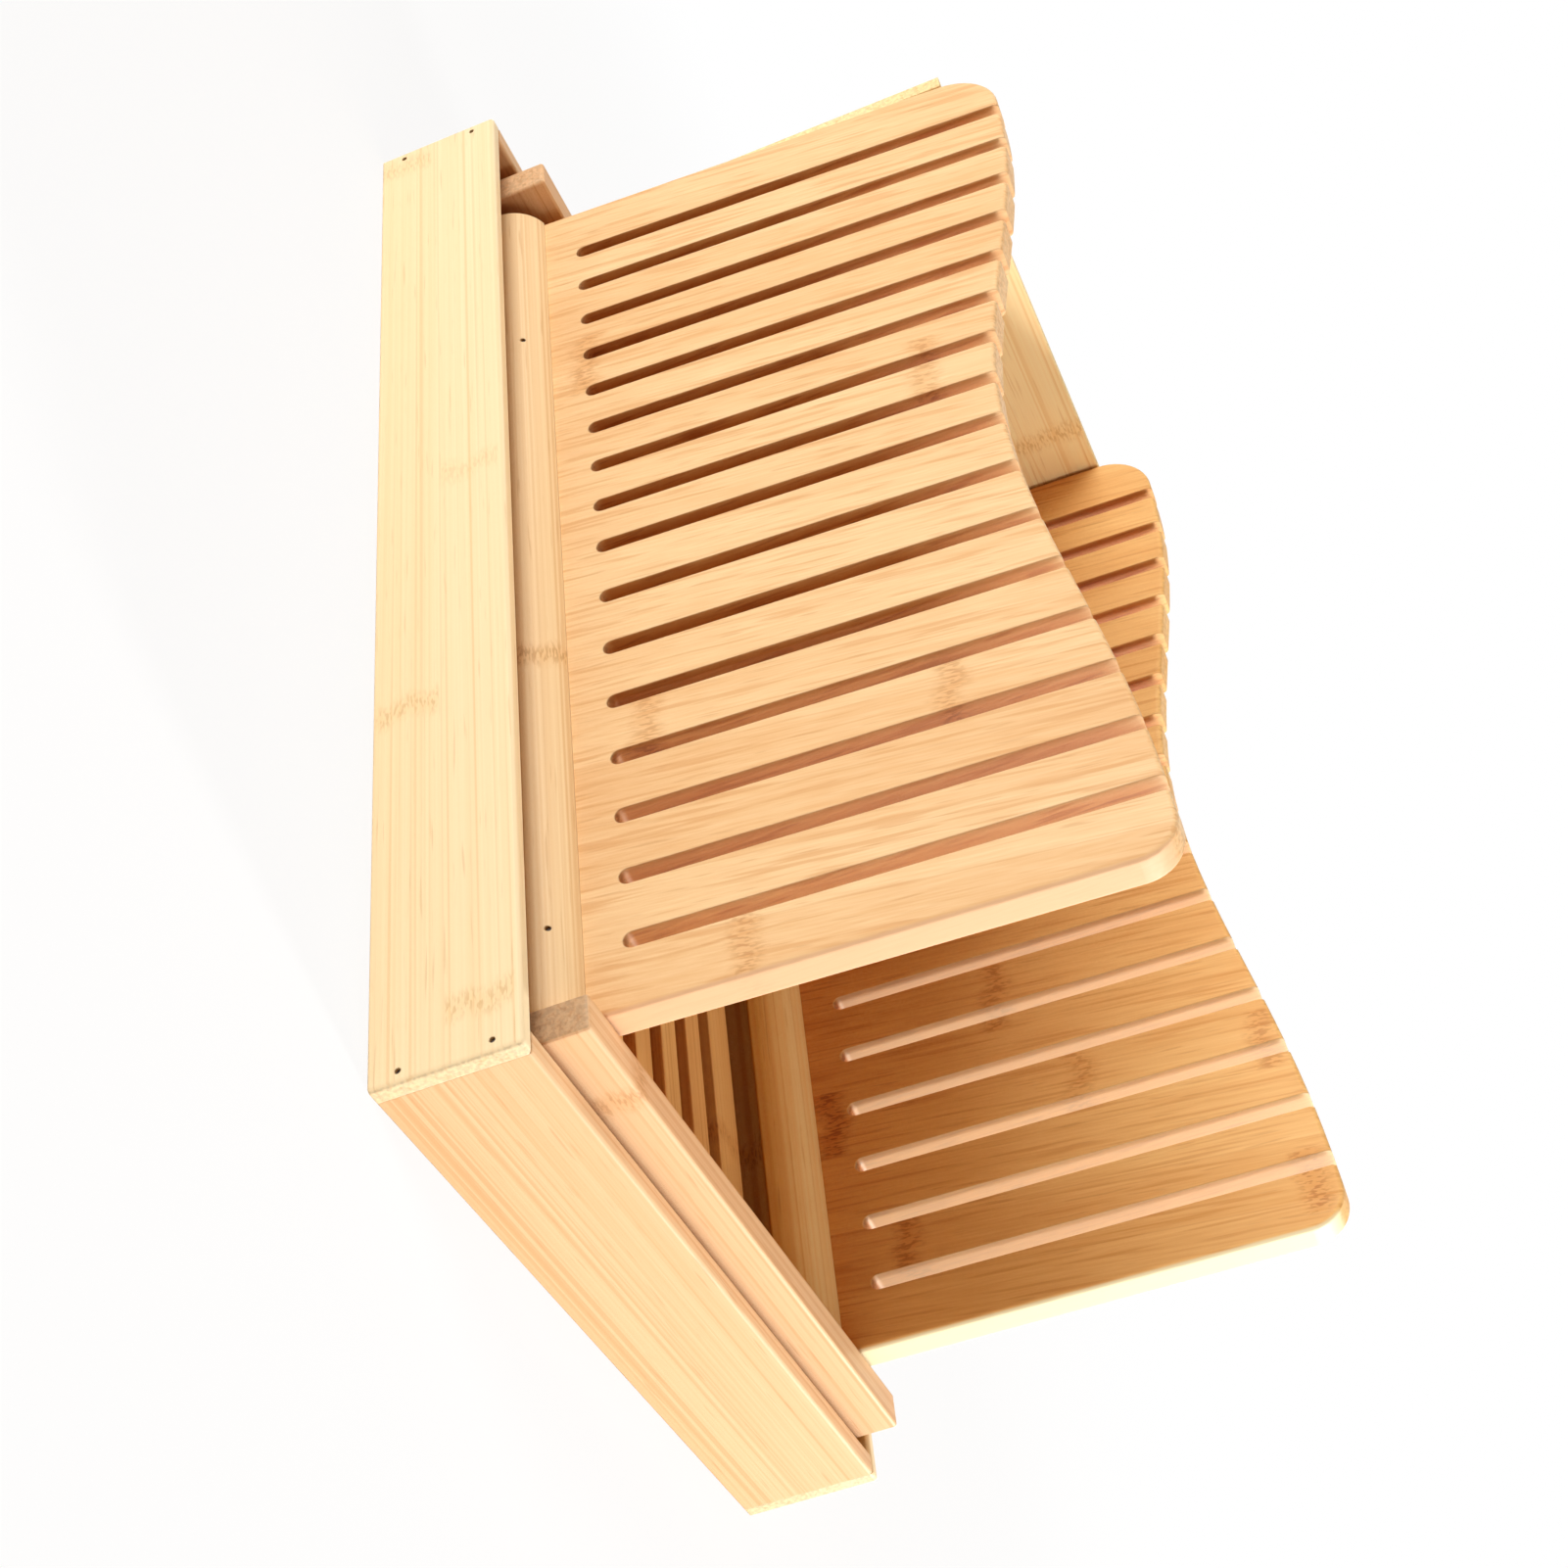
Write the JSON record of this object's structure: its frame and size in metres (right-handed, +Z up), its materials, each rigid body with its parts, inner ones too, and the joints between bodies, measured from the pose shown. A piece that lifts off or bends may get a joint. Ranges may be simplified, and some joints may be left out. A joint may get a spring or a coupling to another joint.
{
  "type": "bread slicer guide",
  "caption": "Bamboo bread slicer guide: wavy slotted guides that fold flat over a slatted frame, with a loose end board and a shallow crumb tray beneath.",
  "frame": {"origin": "on the table, under the middle of the crumb tray", "axes": "+X along the loaf towards the open end, the end board is at -X; +Y across, towards the back guide; +Z up"},
  "size_m": [0.368, 0.226, 0.189],
  "materials": {
    "tray_bamboo": "satin",
    "frame_bamboo": "satin",
    "guide_bamboo": "satin",
    "board_bamboo": "satin",
    "pin_steel": "brushed",
    "brad_steel": "dull"
  },
  "bodies": {
    "tray": {"tray_front_panel": "tray_bamboo", "tray_back_panel": "tray_bamboo", "tray_near_end_panel": "tray_bamboo", "tray_far_end_panel": "tray_bamboo", "tray_bottom_panel": "tray_bamboo", "tray_corner_brads": "brad_steel"},
    "slicing_frame": {"near_end_bar": "frame_bamboo", "far_end_bar": "frame_bamboo", "slat_1": "frame_bamboo", "slat_2": "frame_bamboo", "slat_3": "frame_bamboo", "slat_4": "frame_bamboo", "slat_5": "frame_bamboo", "slat_6": "frame_bamboo", "near_slat_ledger": "frame_bamboo", "far_slat_ledger": "frame_bamboo", "ledger_brads": "brad_steel", "front_near_hinge_pin": "pin_steel", "front_far_hinge_pin": "pin_steel", "back_near_hinge_pin": "pin_steel", "back_far_hinge_pin": "pin_steel"},
    "front_guide": {"front_hinge_rail": "guide_bamboo", "front_slotted_plate": "guide_bamboo", "front_rail_brads": "brad_steel"},
    "back_guide": {"back_hinge_rail": "guide_bamboo", "back_slotted_plate": "guide_bamboo", "back_rail_brads": "brad_steel"},
    "end_board_body": {"end_board": "board_bamboo"}
  },
  "joints": [
    {"name": "frame_lift", "type": "slide", "parent": "tray", "child": "slicing_frame", "axis": [0, 0, 1], "range_m": [0, 0.05]},
    {"name": "front_guide_fold", "type": "hinge", "parent": "slicing_frame", "child": "front_guide", "pos_m": [0.00405, -0.0875, 0.034], "axis": [-1, 0, 0], "range_deg": [0, 87]},
    {"name": "back_guide_fold", "type": "hinge", "parent": "slicing_frame", "child": "back_guide", "pos_m": [0.00405, 0.0786, 0.0355], "axis": [1, 0, 0], "range_deg": [0, 89.4]},
    {"name": "end_board_lift", "type": "slide", "parent": "slicing_frame", "child": "end_board_body", "axis": [0, 0, 1], "range_m": [0, 0.15]}
  ]
}
